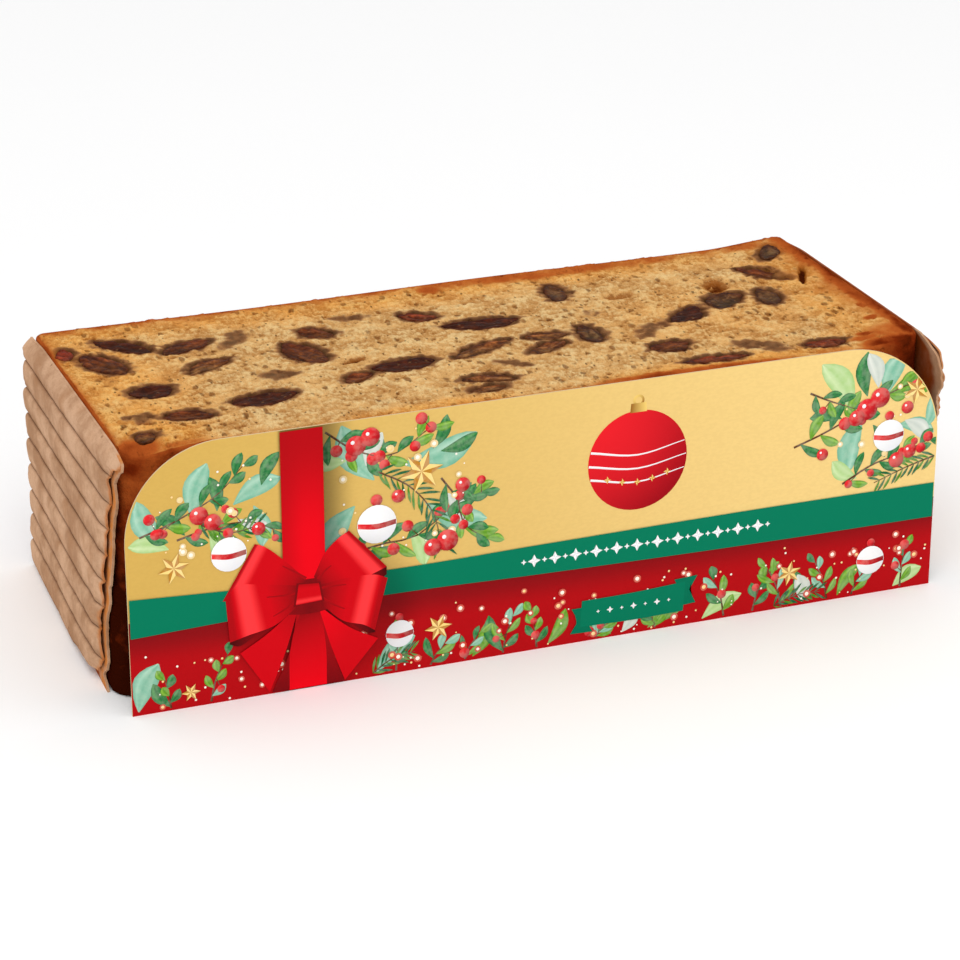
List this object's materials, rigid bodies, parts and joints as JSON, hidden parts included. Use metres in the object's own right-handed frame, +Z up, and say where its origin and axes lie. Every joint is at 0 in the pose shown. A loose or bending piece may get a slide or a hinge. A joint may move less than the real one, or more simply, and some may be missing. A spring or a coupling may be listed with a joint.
{
  "type": "raisin loaf cake",
  "caption": "Long loaf cake with a flat cut top full of raisins, between corrugated paper ends, with a printed card along its front.",
  "frame": {"origin": "middle of the bounding box's base", "axes": "+Z up, +X along the loaf to the right as seen from the card, -Y out of the card's printed face"},
  "size_m": [0.221, 0.0951, 0.068],
  "materials": {
    "crumb": null,
    "raisin": null,
    "baking_paper": "brown corrugated baking paper, matt",
    "printed_card": "printed card with a satin varnish"
  },
  "bodies": {
    "root": {"cake": "crumb", "paper_end_left": "baking_paper", "paper_end_right": "baking_paper", "card_front": "printed_card", "raisin_01": "raisin", "raisin_02": "raisin", "raisin_03": "raisin", "raisin_04": "raisin", "raisin_05": "raisin", "raisin_06": "raisin", "raisin_07": "raisin", "raisin_08": "raisin", "raisin_09": "raisin", "raisin_10": "raisin", "raisin_11": "raisin", "raisin_12": "raisin", "raisin_13": "raisin", "raisin_14": "raisin", "raisin_15": "raisin", "raisin_16": "raisin", "raisin_17": "raisin", "raisin_18": "raisin", "raisin_19": "raisin", "raisin_20": "raisin", "raisin_21": "raisin", "raisin_22": "raisin", "raisin_23": "raisin", "raisin_24": "raisin", "raisin_25": "raisin", "raisin_26": "raisin", "raisin_27": "raisin", "raisin_28": "raisin", "raisin_29": "raisin", "raisin_30": "raisin", "raisin_31": "raisin", "raisin_32": "raisin", "raisin_33": "raisin", "raisin_34": "raisin", "raisin_35": "raisin", "raisin_36": "raisin", "raisin_37": "raisin", "raisin_38": "raisin"}
  },
  "joints": []
}
